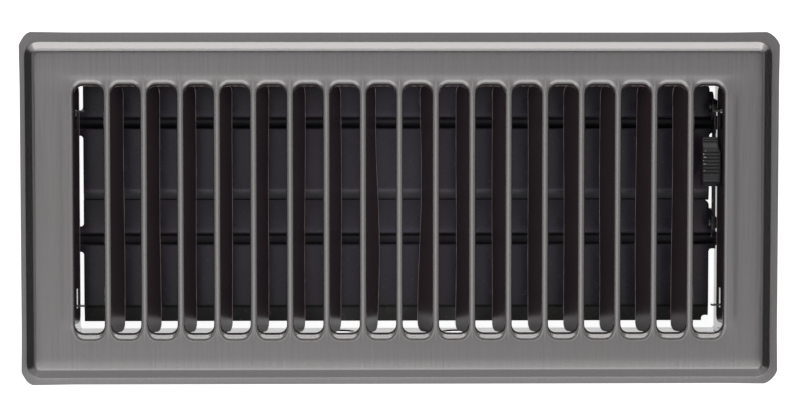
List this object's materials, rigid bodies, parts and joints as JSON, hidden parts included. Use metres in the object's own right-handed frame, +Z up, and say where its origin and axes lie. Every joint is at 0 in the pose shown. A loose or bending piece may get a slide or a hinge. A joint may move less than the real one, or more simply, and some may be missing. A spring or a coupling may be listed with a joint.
{
  "type": "floor register",
  "caption": "Stamped steel floor register with a slotted face, leaning fins, a damper box and two linked damper blades worked by a thumb knob.",
  "frame": {"origin": "middle of the face, on the plane of the underside of the lip, which is the floor", "axes": "+X along the face towards the thumb knob, +Y across the face, +Z up out of the floor"},
  "size_m": [0.2912, 0.1352, 0.0352],
  "materials": {
    "pewter_face": "brushed pewter lacquer on the face, dark below",
    "black_sheet": "gloss black",
    "dark_steel": "satin black",
    "black_plastic": "satin moulded"
  },
  "bodies": {
    "register_frame": {"face_plate": "pewter_face", "damper_box": "black_sheet"},
    "upper_damper": {"upper_blade": "black_sheet", "upper_link_rivet": "dark_steel"},
    "lower_damper": {"lower_blade": "black_sheet", "lower_link_rivet": "dark_steel"},
    "thumb_link": {"damper_link": "dark_steel", "thumb_knob": "black_plastic"}
  },
  "joints": [
    {"name": "upper_blade_hinge", "type": "hinge", "parent": "register_frame", "child": "upper_damper", "pos_m": [0, 0.0322, -0.025], "axis": [1, 0, 0], "range_deg": [0, 80]},
    {"name": "lower_blade_hinge", "type": "hinge", "parent": "register_frame", "child": "lower_damper", "pos_m": [0, -0.01331, -0.025], "axis": [1, 0, 0], "range_deg": [0, 80]},
    {"name": "link_hinge", "type": "hinge", "parent": "upper_damper", "child": "thumb_link", "pos_m": [0.12291, 0.03901, -0.01688], "axis": [1, 0, 0], "range_deg": [-80, 0]}
  ],
  "couplings": [
    {"joint": "lower_blade_hinge", "follows": "upper_blade_hinge", "ratio": 1},
    {"joint": "link_hinge", "follows": "upper_blade_hinge", "ratio": -1}
  ]
}
